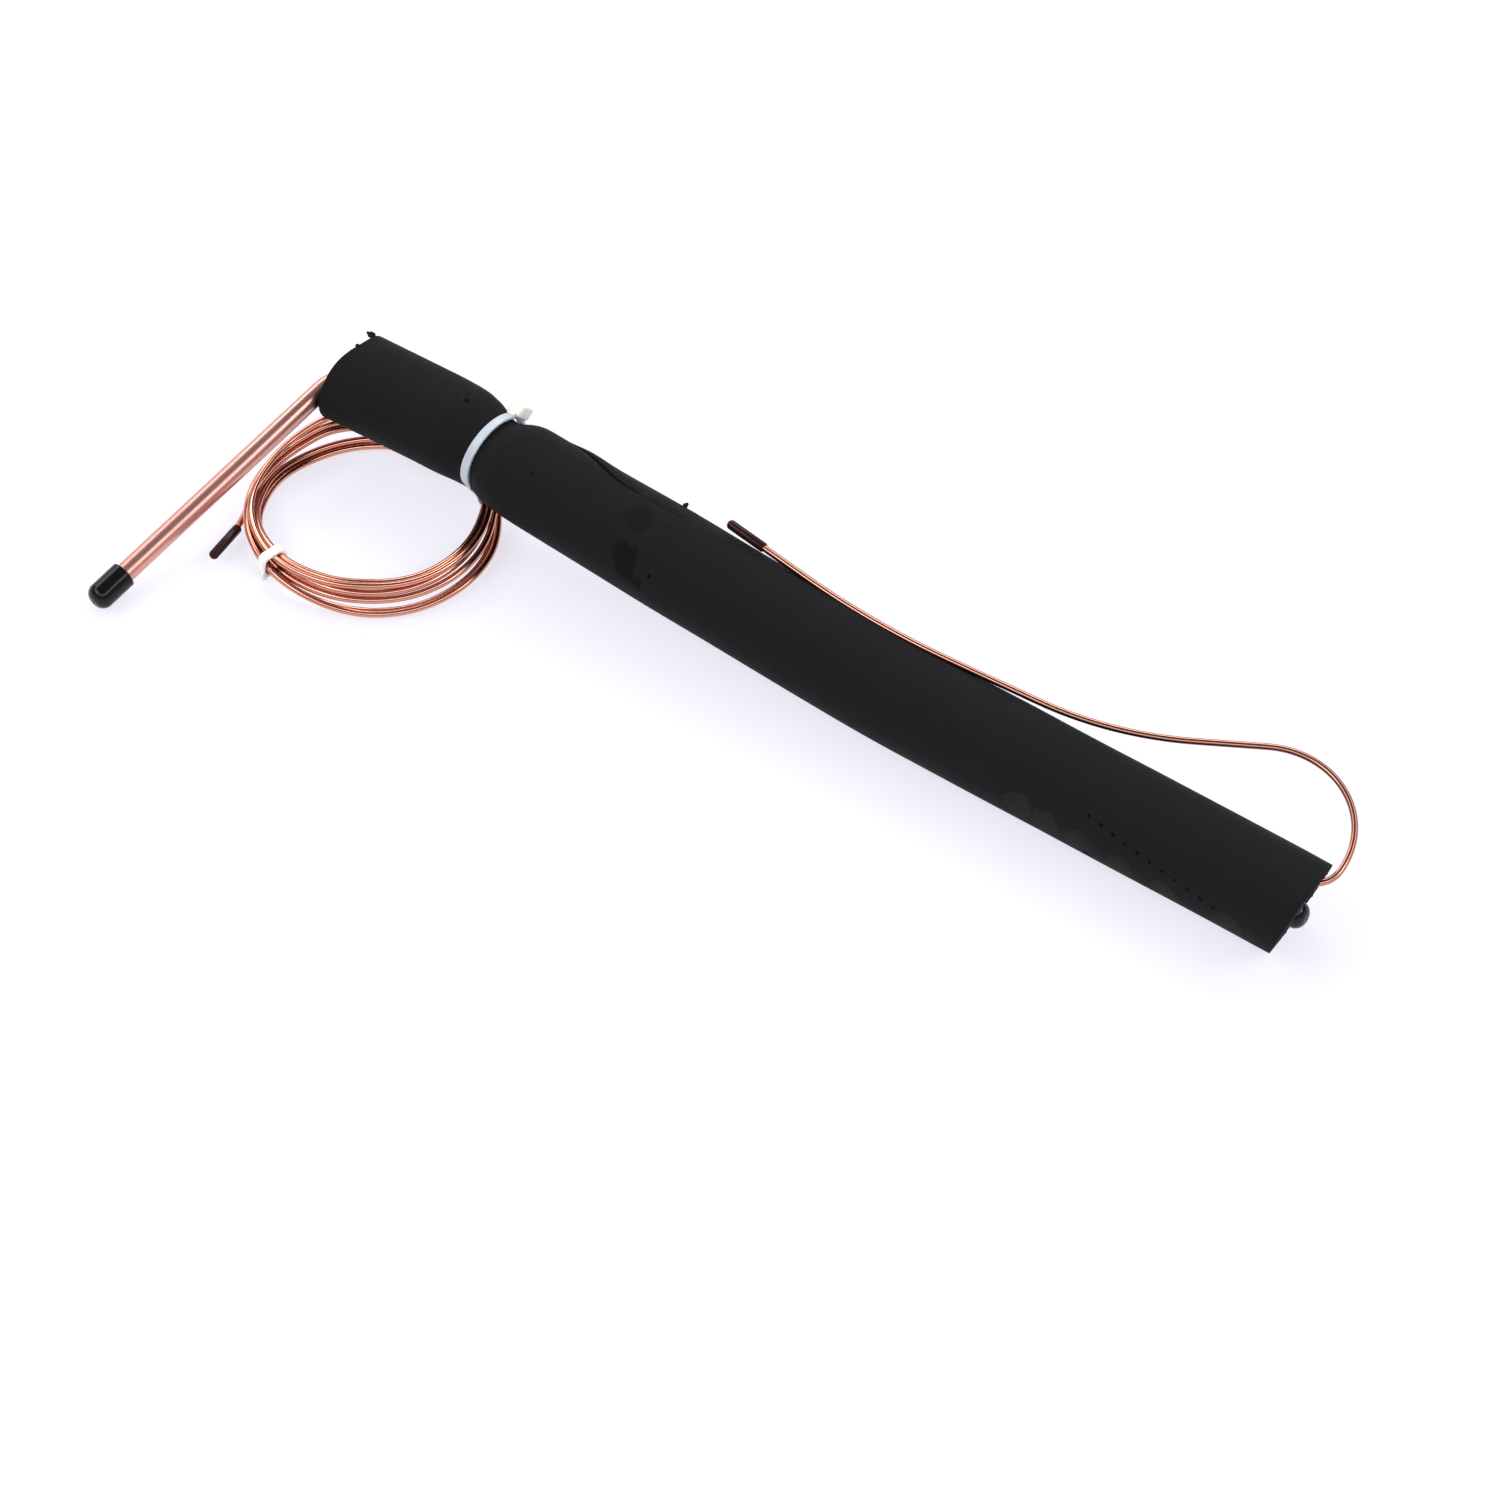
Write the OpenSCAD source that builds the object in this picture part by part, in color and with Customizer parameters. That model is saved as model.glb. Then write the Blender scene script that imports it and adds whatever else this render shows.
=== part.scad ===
// Suction line and capillary heat exchanger: a bent copper suction tube in a foam sleeve, with a long
// copper capillary that is coiled under one end of the sleeve, runs through it and lies back along its far
// side. The sleeve runs along X with its plain end at +X, one end on the coil and the other on the floor.

/* [Suction tube] */
// Outside diameter of the suction tube
tube_od = 6; // [5:0.5:6.5]
// Wall of the suction tube
tube_wall = 0.8; // [0.5:0.1:1.2]
// Radius of the elbow where the tube leaves the sleeve, to the middle of the tube
elbow_radius = 10; // [8:0.5:14]
// Angle of that elbow
elbow_angle = 82; // [60:1:90]
// How far inside the sleeve the elbow starts
elbow_inset = 4; // [2:0.5:5]
// Straight length of the tube after the elbow
arm_length = 93; // [60:1:120]
// How far the tube reaches past the middle of the slanted end
tube_reach = 0.2; // [0:0.1:8]

/* [Capillary] */
// Outside diameter of the capillary
capillary_od = 2; // [1.5:0.1:2.4]
// Outside diameter of the coil
coil_od = 74; // [68:1:80]
// Inside diameter of the coil
coil_id = 63; // [58:1:64]
// How far the middle of the coil lies in from the sleeve's end
coil_inset = 26; // [22:1:30]
// Tilt of the inner turns, high side towards the front
inner_tilt = 8.4; // [6:0.2:10]
// Tilt of the outer turns, low side towards the front
outer_tilt = 4.6; // [2:0.2:5]
// Length of the coil's free end, from the turn that it leaves
stub_length = 18; // [17:0.5:30]

/* [Foam sleeve] */
// Outside diameter of the sleeve
sleeve_od = 30; // [28:1:34]
// Outside diameter of the short piece where the tie holds it in
short_od = 26.8; // [25:0.2:28]
// Bore of the sleeve
sleeve_bore = 12; // [11:0.5:15]
// Length of the short piece at the coil end
short_length = 114.5; // [100:0.5:140]
// Length of the long piece
long_length = 214.5; // [190:0.5:260]
// Width of the slit along the back
slit_width = 0.6; // [0.3:0.1:1.5]
// How far round from the top to the back the slit lies
slit_angle = 50; // [30:1:80]
// How far the cut at the plain end leans out at the top
end_rake = 20.5; // [0:0.5:30]
// How far that cut leans out on the near side
end_skew = 4.5; // [0:0.5:15]
// Slope of the sleeve where it climbs to the coil
climb_angle = 4; // [3:0.2:6]
// Slope of the sleeve past the tie, down to the coil end
fall_angle = 1.5; // [0:0.1:2]
// How far the sleeve turns to the far side before the tie
sway_angle = 4; // [2:0.2:6]

/* [Cable ties] */
// Width of the tie round the sleeve
sleeve_tie_width = 3.5; // [2.5:0.1:4.8]
// Width of the tie round the coil
coil_tie_width = 2.5; // [2:0.1:3.6]
// Thickness of both straps
strap_thickness = 1.1; // [0.8:0.1:1.4]
// How far in from the coil end the tie goes round the sleeve
tie_inset = 48; // [45:1:55]
// Diameter of the foam where the tie goes round it
waist_od = 21.4; // [20:0.2:25]

/* [End caps] */
// Wall of the caps on the suction tube
tube_cap_wall = 1; // [0.6:0.1:1.4]
// Length of the caps on the suction tube
tube_cap_length = 14; // [10:0.5:20]
// Wall of the caps on the capillary
capillary_cap_wall = 0.4; // [0.3:0.05:0.6]
// Length of the caps on the capillary
capillary_cap_length = 13.5; // [10:0.5:18]

/* [Hidden] */
$fn = 64;

copper = "#b5714f";
foam = "#2b2b2d";
nylon = "#e8ecef";
vinyl = "#17171a";
brown_vinyl = "#2a1c1a";

// Bend directions, as seen along a tube that was set out with its own x upwards
up = 0;
far = 90;
down = 180;
near = -90;

// Clearances: between the pieces that touch, and of a cap on its tube
seat_gap = 0.2;
cap_gap = 0.05;

// The six turns lie fused side by side: the inner four two high, the outer two side by side
turn_pitch = 0.95 * capillary_od;
inner_radius = coil_id / 2 + capillary_od / 2;
outer_radius = coil_od / 2 - capillary_od / 2;
inner_reach = inner_radius + turn_pitch;
inner_height = inner_reach * sin(inner_tilt) + turn_pitch / 2 * cos(inner_tilt) + capillary_od / 2;
outer_height = outer_radius * sin(outer_tilt) + capillary_od / 2;
bundle_top = inner_height + turn_pitch / 2 + capillary_od / 2;
bundle_bottom = outer_height - capillary_od / 2;
// The two groups of turns cross on a line through the middle of the coil
cross_angle = 55;
bundle_radius = (coil_id + coil_od) / 4;
// How far past that line the coil's tie goes round the bundle
coil_tie_turn = 7;

// The strap squeezes the foam at the top and the sides, and its underside lies on the bundle
axis_height = sleeve_od / 2;
waist_radius = waist_od / 2;
waist_low = sleeve_od / 2 - seat_gap;
waist_gap = 2.5 * seat_gap;
// The bundle rises a little from the crossing to the tie
tie_rise = 1;
tie_height = bundle_top + tie_rise + seat_gap + waist_low;

// The sleeve's path from the plain end: level, a wide curve up, a climb with a turn to the far side, a crest
// at the tie, a turn back and a slight fall
climb_radius = 400;
crest_radius = 150;
sway_radius = 180;
sway_run = 3;
back_angle = sway_angle + 0.5;
path_length = long_length + short_length;
climb_arc = climb_radius * climb_angle * PI / 180;
crest_arc = crest_radius * (climb_angle + fall_angle) * PI / 180;
climb_rise = climb_radius * (1 - cos(climb_angle));
crest_rise = crest_radius * (cos((climb_angle - fall_angle) / 2) - cos(climb_angle));
climb_length = (tie_height - axis_height - climb_rise - crest_rise) / sin(climb_angle);
level_length = path_length - tie_inset - crest_arc / 2 - climb_arc - climb_length;
sway_arc = sway_radius * sway_angle * PI / 180;
back_arc = sway_radius * back_angle * PI / 180;
fall_length = tie_inset - crest_arc / 2 - back_arc;
climb_bend = [climb_angle, climb_radius, up];
sway_bend = [sway_angle, sway_radius, far];
back_bend = [back_angle, sway_radius, near];
crest_bend = [climb_angle + fall_angle, crest_radius, down];
no_bend = [0, 1, up];

// Each tube is a list of steps: a straight length, then a bend of [angle, radius, direction]
sleeve_steps = [
    [level_length, climb_bend],
    [climb_length - sway_arc - sway_run, sway_bend],
    [sway_run, crest_bend],
    [0, back_bend],
    [fall_length, no_bend],
];
towards_coil = [[0, 0, 1], [0, 1, 0], [-1, 0, 0]];
sleeve_start = concat([[0, 0, axis_height]], towards_coil);
tie_at = path_length - tie_inset;
left_frame = frame_at(sleeve_steps, sleeve_start, path_length);
left_height = left_frame[0][2];
tie_place = frame_at(sleeve_steps, sleeve_start, tie_at)[0];
tie_x = tie_place[0];
coil_x = tie_x - tie_inset + coil_inset;
// The bundle passes under the sleeve where the tie goes round both
coil_y = -sqrt(pow(bundle_radius, 2) - pow(tie_x - coil_x, 2));

// Places in the bore, as [height, place to the far side] from its axis. At the plain end the tube lies low,
// as far out as its cap lets it, with the capillary above it. At the coil end the capillary passes under it.
tube_cap_od = tube_od + 2 * (tube_cap_wall + cap_gap);
bore_room = (sleeve_bore - tube_cap_od - seat_gap) / 2;
lane_turn = 45;
lane_side = [cos(lane_turn), sin(lane_turn)];
tube_low = -bore_room * lane_side;
tube_high = [-0.5, 0];
capillary_high = tube_low + ((tube_cap_od + capillary_od) / 2 + seat_gap) * lane_side;
capillary_beside = [0, (tube_od + capillary_od) / 2 + 2 * seat_gap];
capillary_under = [-3.2, 3.65];
capillary_low = [-4.75, 0.85];

// The arm droops until its cap lies on the floor
cap_end = 1.3;
tube_cap_round = 1.8;
arm_reach = arm_length + cap_end - tube_cap_round;
elbow_height = left_height + tube_high[0] - tube_cap_od / 2;
arm_along = elbow_radius * sin(elbow_angle) + arm_reach * cos(elbow_angle);
arm_across = elbow_radius * (1 - cos(elbow_angle)) + arm_reach * sin(elbow_angle);
droop_sine = (elbow_height - arm_along * sin(fall_angle)) / arm_across;
elbow_bend = [elbow_angle, elbow_radius, near - asin(droop_sine) + asin(left_frame[2][2])];

arm_steps = [[0, elbow_bend], [arm_length, no_bend]];
// From the coil end: round under the elbow and down to lie on the coil
lead_steps = [
    [1, [95, 12.4, -112]],
    [10.5, [18, 20, up]],
    [1, no_bend],
];
// From inside the plain end: out, round in a loop and back to lean on the sleeve's far shoulder
tail_inset = 4;
tail_steps = [
    [0.5, [95, 8, -78.5]],
    [6.5, [113, 25.5, -76]],
    [17, [24.5, 119, 98.5]],
    [29, [9, 300, 112]],
    [27, no_bend],
];
// From the outer turn: out of the coil and along the floor
stub_angle = 212;
stub_turn = 27;
stub_rise = 0.4;

// Facets of the swept tubes
bend_step = 9;
tube_sides = 24;
capillary_sides = 10;
foam_sides = 35;
waist_length = 9;

// Lanes in the bore, as [distance from the plain end, place in the bore]
lead_inset = 1;
crest_start = tie_at - crest_arc / 2;
crest_end = tie_at + crest_arc / 2;
sway_start = crest_start - sway_run - sway_arc;
tube_lane = [
    [-tube_reach, tube_low],
    [level_length, tube_low],
    [level_length + climb_arc, tube_low],
    [sway_start, tube_high],
    [sway_start + sway_arc, tube_high],
    [crest_start, tube_high],
    [crest_end, tube_high],
    [crest_end + back_arc, tube_high],
    [path_length - elbow_inset, tube_high],
];
capillary_lane = [
    [tail_inset, capillary_high],
    [3 * tube_cap_length, capillary_high],
    [level_length, capillary_beside],
    [level_length + climb_arc, capillary_beside],
    [sway_start, capillary_beside],
    [sway_start + sway_arc, capillary_beside],
    [crest_start, capillary_beside],
    [tie_at, capillary_under],
    [crest_end, capillary_low],
    [crest_end + back_arc, capillary_low],
    [path_length - lead_inset, capillary_low],
];
lane_frames = function (lane) [for (point = lane) lane_frame(point)];
tube_mouth = lane_frame(tube_lane[len(tube_lane) - 1]);
tube_frames = concat(lane_frames(tube_lane), trace(arm_steps, tube_mouth, skip = 1));
tube_outlet = facing_back(tube_frames[0]);
tail_frames = trace(tail_steps, facing_back(lane_frame(capillary_lane[0])));
lead_frames = trace(lead_steps, lane_frame(capillary_lane[len(capillary_lane) - 1]));
arm_end = tube_frames[len(tube_frames) - 1];
tail_end = tail_frames[len(tail_frames) - 1];

// The whole part stands with the middle of its floor plan at the origin
cap_tip = advance(arm_end, cap_end)[0];
left_reach = cap_tip[0] - tube_cap_od / 2;
near_reach = cap_tip[1];
right_reach = sleeve_od / 2 * norm([tan(end_rake), tan(end_skew)]);
far_reach = max([for (frame = tail_frames) frame[0][1]]) + capillary_od / 2;
middle = [(left_reach + right_reach) / 2, (near_reach + far_reach) / 2];

// Turns a vector about an axis.
function turn(v, axis, angle) =
    v * cos(angle) + cross(axis, v) * sin(angle) + axis * (axis * v) * (1 - cos(angle));

// A frame is [place, x, y, z], and a tube runs along its z.
function advance(frame, length) = [frame[0] + frame[3] * length, frame[1], frame[2], frame[3]];
function bent(frame, bend, share) =
    let (inwards = frame[1] * cos(bend[2]) + frame[2] * sin(bend[2]),
         axis = cross(frame[3], inwards),
         angle = bend[0] * share)
    [
        frame[0] + inwards * bend[1] * (1 - cos(angle)) + frame[3] * bend[1] * sin(angle),
        turn(frame[1], axis, angle), turn(frame[2], axis, angle), turn(frame[3], axis, angle),
    ];

// The frames along a tube's steps: one after each straight, and several round each bend.
function trace(steps, frame, first = 0, skip = 0) =
    first == len(steps) ? [frame] :
    let (bend = steps[first][1],
         bend_start = advance(frame, steps[first][0]),
         parts = ceil(bend[0] / bend_step),
         bend_end = parts > 0 ? bent(bend_start, bend, 1) : bend_start,
         before = skip > 0 || steps[first][0] == 0 ? [] : [frame],
         round = [for (k = [skip:1:parts - 1]) bent(bend_start, bend, k / parts)])
    concat(before, round, trace(steps, bend_end, first + 1));

// The frame at one distance along a tube's steps.
function frame_at(steps, frame, distance, first = 0) =
    let (straight = steps[first][0],
         bend = steps[first][1],
         arc = bend[1] * bend[0] * PI / 180,
         bend_start = advance(frame, straight))
    distance <= straight || first == len(steps) - 1 ? advance(frame, distance) :
    distance <= straight + arc ? bent(bend_start, bend, (distance - straight) / arc) :
    frame_at(steps, bent(bend_start, bend, 1), distance - straight - arc, first + 1);

// The frame at a point of a lane in the bore.
function lane_frame(point) =
    let (frame = frame_at(sleeve_steps, sleeve_start, point[0]))
    [frame[0] + frame[1] * point[1][0] + frame[2] * point[1][1], frame[1], frame[2], frame[3]];

function facing_back(frame) = [frame[0], frame[1], -frame[2], -frame[3]];

function ring(frame, radius, sides) = [
    for (k = [0:sides - 1])
        let (angle = 360 * k / sides)
        frame[0] + radius * (frame[1] * cos(angle) + frame[2] * sin(angle))
];

// The wall between rings of points that follow one another, closed on itself.
function wall_faces(rings, count, start, inside) = [
    for (i = [0:rings - 2], k = [0:count - 1])
        let (a = start + i * count + k, b = start + i * count + (k + 1) % count)
        inside ? [a, a + count, b + count, b] : [a, b, b + count, a + count]
];

// A solid tube through frames.
module solid_tube(frames, od, sides) {
    rings = len(frames);
    polyhedron(
        [for (frame = frames) each ring(frame, od / 2, sides)],
        concat(
            [[for (k = [sides - 1:-1:0]) k], [for (k = [0:sides - 1]) (rings - 1) * sides + k]],
            wall_faces(rings, sides, 0, false)
        )
    );
}

// A tube with a bore through frames.
module bored_tube(frames, od, bore, sides) {
    rings = len(frames);
    within = rings * sides;
    polyhedron(
        [for (radius = [od / 2, bore / 2], frame = frames) each ring(frame, radius, sides)],
        concat(
            wall_faces(rings, sides, 0, false),
            wall_faces(rings, sides, within, true),
            [for (end = [0, rings - 1], k = [0:sides - 1])
                let (a = end * sides + k, b = end * sides + (k + 1) % sides)
                end == 0 ? [a, a + within, b + within, b] : [a, b, b + within, a + within]]
        )
    );
}

module set_down() {
    translate([-middle[0], -middle[1], 0]) children();
}

// Puts something at the end of a tube, along its frame.
module at(frame) {
    place = frame[0];
    x = frame[1];
    y = frame[2];
    z = frame[3];
    multmatrix([
        [x[0], y[0], z[0], place[0]],
        [x[1], y[1], z[1], place[1]],
        [x[2], y[2], z[2], place[2]],
    ])
        children();
}

module at_coil() {
    translate([coil_x, coil_y, 0])
        rotate([0, 0, cross_angle])
            children();
}

// How much the tie draws the foam in at one distance along the sleeve, from 0 to 1.
function squeeze(distance) = exp(-pow((distance - tie_at) / waist_length, 2));

// The foam's outside radius away from the tie: the short piece narrows towards it.
function foam_radius(distance) =
    lookup(distance, [[long_length, sleeve_od / 2], [tie_at - 2 * waist_length, short_od / 2]]);

// One ring of the foam's section: round the outside from one lip of the slit to the other and back inside.
function foam_ring(distance, rake, skew) =
    let (frame = frame_at(sleeve_steps, sleeve_start, distance),
         tight = squeeze(distance),
         outside = foam_radius(distance) * (1 - tight) + waist_radius * tight)
    [for (skin = [outside, sleeve_bore / 2], k = [0:foam_sides])
        let (lip = asin(slit_width / 2 / skin),
             share = skin == outside ? k / foam_sides : 1 - k / foam_sides,
             angle = slit_angle + lip + (360 - 2 * lip) * share,
             belly = skin == outside ? (waist_low - waist_radius) * tight : 0,
             wall = skin + belly * pow(max(0, -cos(angle)), 4),
             height = wall * cos(angle),
             side = wall * sin(angle))
        frame[0] + frame[1] * height + frame[2] * side
            + frame[3] * (side * tan(skew) - height * tan(rake))];

// A length of slit foam tube through rings at the given distances, its first ring cut at a slant.
module foam_length(distances, rake = 0, skew = 0) {
    rings = len(distances);
    count = 2 * foam_sides + 2;
    polyhedron(
        [for (i = [0:rings - 1]) each foam_ring(distances[i], i == 0 ? rake : 0, i == 0 ? skew : 0)],
        concat(
            wall_faces(rings, count, 0, false),
            [for (end = [0, rings - 1], k = [0:foam_sides - 1])
                let (a = end * count + k, b = end * count + count - 1 - k)
                end == 0 ? [a, b, b - 1, a + 1] : [a, a + 1, b - 1, b]]
        )
    );
}

// A soft cap pushed on a tube that ends at z = 0: a cup with a rounded, dimpled end.
module end_cap(bore, wall, length, end, round) {
    radius = bore / 2 + wall;
    dimple_radius = 2 * radius;
    dimple_depth = 0.08 * radius;
    translate([0, 0, end - length])
        rotate_extrude()
            difference() {
                union() {
                    square([radius, length - round]);
                    square([radius - round, length]);
                    translate([radius - round, length - round]) circle(round);
                }
                translate([-radius, -length]) square([radius, 3 * length]);
                translate([0, -end]) square([bore / 2, length]);
                translate([0, length + dimple_radius - dimple_depth]) circle(dimple_radius);
            }
}

module tube_cap() {
    end_cap(tube_od + 2 * cap_gap, tube_cap_wall, tube_cap_length, cap_end, tube_cap_round);
}

module capillary_cap() {
    end_cap(capillary_od + 2 * cap_gap, capillary_cap_wall, capillary_cap_length, cap_end, 0.8);
}

// The point where the common tangent of two circles, given as [x, y, radius], touches the first one.
function touch_point(one, other, side) =
    let (across = [other[0] - one[0], other[1] - one[1]],
         angle = atan2(across[1], across[0]) + side * acos((one[2] - other[2]) / norm(across)))
    [one[0] + one[2] * cos(angle), one[1] + one[2] * sin(angle)];

// A strap's outline: round the waist above and round the corners of the tube bundle below.
module strap_outline(grow) {
    big = [0, 0, waist_radius + waist_gap + grow];
    corner_radius = capillary_od / 2 + grow;
    low = bundle_bottom - tie_height - 3 * seat_gap + capillary_od / 2;
    half_width = (coil_od - coil_id) / 4 / sin(cross_angle) + sleeve_tie_width / 2 + 3 * seat_gap;
    corners = [for (side = [-1, 1]) [low, side * half_width - tie_place[1], corner_radius]];
    union() {
        translate([big[0], big[1]]) circle(big[2]);
        for (corner = corners) translate([corner[0], corner[1]]) circle(corner[2]);
        polygon([
            touch_point(big, corners[0], 1),
            touch_point(big, corners[1], -1),
            touch_point(corners[1], big, 1),
            [low - corner_radius, corners[1][1]],
            [low - corner_radius, corners[0][1]],
            touch_point(corners[0], big, -1),
        ]);
    }
}

module suction_tube() {
    color(copper)
        set_down() bored_tube(tube_frames, tube_od, tube_od - 2 * tube_wall, tube_sides);
}

// The start of the coil's free end, in the outer turn, heading out of the coil.
module at_stub() {
    at_coil()
        translate([0, 0, outer_height])
            rotate([outer_tilt, 0, 0])
                rotate([0, 0, stub_angle - cross_angle])
                    translate([outer_radius, 0, stub_rise])
                        rotate([-90, 0, -stub_turn])
                            children();
}

module capillary_coil() {
    color(copper)
        set_down() {
            at_coil()
                translate([0, 0, inner_height])
                    rotate([-inner_tilt, 0, 0])
                        rotate_extrude()
                            for (column = [0, 1], row = [-0.5, 0.5])
                                translate([inner_radius + column * turn_pitch, row * turn_pitch])
                                    circle(d = capillary_od);
            at_coil()
                translate([0, 0, outer_height])
                    rotate([outer_tilt, 0, 0])
                        rotate_extrude()
                            for (column = [0, 1])
                                translate([outer_radius - column * turn_pitch, 0])
                                    circle(d = capillary_od);
            at_stub() cylinder(h = stub_length, d = capillary_od);
        }
}

// The capillary from the end of the tail through the sleeve to the coil.
module capillary_run() {
    inside = lane_frames(capillary_lane);
    frames = concat(
        [for (i = [len(tail_frames) - 1:-1:1]) facing_back(tail_frames[i])],
        inside,
        [for (i = [1:len(lead_frames) - 1]) lead_frames[i]]
    );
    color(copper)
        set_down() solid_tube(frames, capillary_od, capillary_sides);
}

module sleeve_short() {
    steps = [0, 1.5, 3, 5, 7, 10, 15, 22];
    before_tie = [for (i = [len(steps) - 1:-1:1]) tie_at - steps[i]];
    past_tie = [for (step = steps) tie_at + step];
    color(foam)
        set_down() foam_length(concat([long_length], before_tie, past_tie, [path_length]));
}

module sleeve_long() {
    climb_rings = [for (k = [0:4]) level_length + climb_arc * k / 4];
    color(foam)
        set_down() foam_length(concat([0], climb_rings, [long_length]), end_rake, end_skew);
}

module sleeve_tie() {
    head = [6.4, 5, 4.2];
    color(nylon)
        set_down() translate(tie_place + [sleeve_tie_width / 2, 0, 0]) rotate([0, -90, 0]) {
            linear_extrude(sleeve_tie_width)
                difference() {
                    strap_outline(strap_thickness);
                    strap_outline(0);
                }
            translate([0, 0, (sleeve_tie_width - head[1]) / 2])
                rotate(slit_angle)
                    translate([waist_radius + waist_gap + strap_thickness / 2, -head[0] / 2, 0])
                        cube([head[2], head[0], head[1]]);
        }
}

module coil_tie() {
    head = [3.2, 4, 4.6];
    top = bundle_top + inner_reach * sin(coil_tie_turn) * sin(inner_tilt);
    bottom = bundle_bottom - outer_radius * sin(coil_tie_turn) * sin(outer_tilt);
    window = [(coil_od - coil_id) / 2 + 4 * seat_gap, top - bottom + 4 * seat_gap];
    head_x = -window[0] / 2 - strap_thickness / 2 - head[0];
    corner = capillary_od / 2;
    color(nylon)
        set_down() at_coil() rotate([0, 0, coil_tie_turn])
            translate([-bundle_radius, coil_tie_width / 2, (top + bottom) / 2])
                rotate([90, 0, 0]) {
                    linear_extrude(coil_tie_width)
                        difference() {
                            round_corners(window + 2 * strap_thickness * [1, 1], corner + strap_thickness);
                            round_corners(window, corner);
                        }
                    translate([head_x, -window[1] / 2, (coil_tie_width - head[1]) / 2])
                        cube([head[0], head[2], head[1]]);
                }
}

// A rectangle about the middle with round corners.
module round_corners(size, radius) {
    square([size[0] - 2 * radius, size[1]], center = true);
    square([size[0], size[1] - 2 * radius], center = true);
    for (x = [-1, 1], y = [-1, 1])
        translate([x * (size[0] / 2 - radius), y * (size[1] / 2 - radius)]) circle(radius);
}

module suction_cap_inlet() {
    color(vinyl)
        set_down() at(arm_end) tube_cap();
}

module suction_cap_outlet() {
    color(vinyl)
        set_down() at(tube_outlet) tube_cap();
}

module capillary_cap_coil() {
    color(brown_vinyl)
        set_down() at_stub() translate([0, 0, stub_length]) capillary_cap();
}

module capillary_cap_tail() {
    color(brown_vinyl)
        set_down() at(tail_end) capillary_cap();
}

suction_tube();
capillary_coil();
capillary_run();
sleeve_short();
sleeve_long();
sleeve_tie();
coil_tie();
suction_cap_inlet();
suction_cap_outlet();
capillary_cap_coil();
capillary_cap_tail();
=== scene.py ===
"""A suction line and capillary heat exchanger as it lies on a table: a bent copper suction tube in a slit
foam sleeve, and a long copper capillary that is coiled and tied under one end, runs through the sleeve and
lies back along its far side. Lengths are in millimetres until a mesh is made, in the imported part's frame."""

import math

import bmesh
import bpy
import numpy as np
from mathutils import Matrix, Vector


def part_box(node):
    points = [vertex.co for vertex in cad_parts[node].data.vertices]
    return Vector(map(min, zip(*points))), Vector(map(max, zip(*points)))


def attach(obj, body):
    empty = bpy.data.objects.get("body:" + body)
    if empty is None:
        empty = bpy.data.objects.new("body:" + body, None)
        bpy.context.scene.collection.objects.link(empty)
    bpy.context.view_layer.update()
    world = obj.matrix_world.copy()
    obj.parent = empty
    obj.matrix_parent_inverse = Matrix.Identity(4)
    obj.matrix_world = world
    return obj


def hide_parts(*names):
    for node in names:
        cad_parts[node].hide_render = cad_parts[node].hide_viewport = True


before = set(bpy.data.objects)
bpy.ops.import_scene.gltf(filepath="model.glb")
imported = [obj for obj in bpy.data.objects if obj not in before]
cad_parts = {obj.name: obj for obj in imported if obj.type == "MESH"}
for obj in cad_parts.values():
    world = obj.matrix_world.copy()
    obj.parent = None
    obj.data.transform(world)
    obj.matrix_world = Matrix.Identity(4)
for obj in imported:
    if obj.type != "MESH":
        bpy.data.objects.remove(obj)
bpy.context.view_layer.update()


# Suction tube
# Soft copper tube of 6 mm outside, straight inside the sleeve and bent by hand where it leaves it. Its arm
# hangs down until the capped end lies on the table.
MM = 0.001
tube_od = 6
tube_wall = 0.8
elbow_angle = 82
elbow_radius = 10
elbow_inset = 4
arm_length = 93
arm_droop = 11.3
mouth_straight = 0.5
outlet_past_plain = 1.4
tube_sides = 48
flattening = 0.07
flattened_length = 24
flattest_at = 8
elbow_zone = 30

# The line of the sleeve's bore, from the plain end: level, a climb with a turn to the far side, a crest at
# the tie, a turn back and a slight fall. Each angle runs straight from one station to the next.
outlet_cap_reach = 1.5
bore_off_middle = 0.02
plain_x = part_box("suction_cap_outlet")[1].x / MM - outlet_cap_reach
bore_y = (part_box("sleeve_long")[0].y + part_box("sleeve_long")[1].y) / 2 / MM - bore_off_middle
axis_height = 15
long_length = 214.5
path_length = 329
tie_at = 281
slope_stations = [0, 122.4, 150.4, 273.8, 288.2]
slopes = np.radians([0, 0, 4, 4, -1.5])
sway_stations = [0, 258.2, 270.8, 288.2, 302.3]
sways = np.radians([0, 0, 4, 4, -0.5])


def bore_frame(distance):
    """The axis of the bore at distances from the plain end, and its directions along, up and to the far side.
    The axis is the running sum of the direction, whose slope and sway are read from the stations."""
    margin = 20
    grid = np.linspace(-margin, path_length + margin, 2000)
    slope = np.interp(grid, slope_stations, slopes)
    sway = np.interp(grid, sway_stations, sways)
    along = np.stack([-np.cos(slope) * np.cos(sway), np.sin(sway), np.sin(slope) * np.cos(sway)], -1)
    places = np.cumsum(along, axis=0) * (grid[1] - grid[0])
    start = [np.interp(0, grid, places[:, i]) for i in range(3)]
    places = places - start + np.array([plain_x, bore_y, axis_height])
    place = np.stack([np.interp(distance, grid, places[:, i]) for i in range(3)], -1)
    along = unit(np.stack([np.interp(distance, grid, along[:, i]) for i in range(3)], -1))
    far = unit(np.cross(along, [0, 0, 1]))
    return place, along, np.cross(far, along), far


def bore_line(distance, height=0, far=0):
    """Points in the bore at distances from the plain end, moved up and to the far side of its axis."""
    place, along, up, side = bore_frame(distance)
    height, far = (np.broadcast_to(value, np.shape(distance))[..., None] for value in (height, far))
    return place + up * height + side * far


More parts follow.
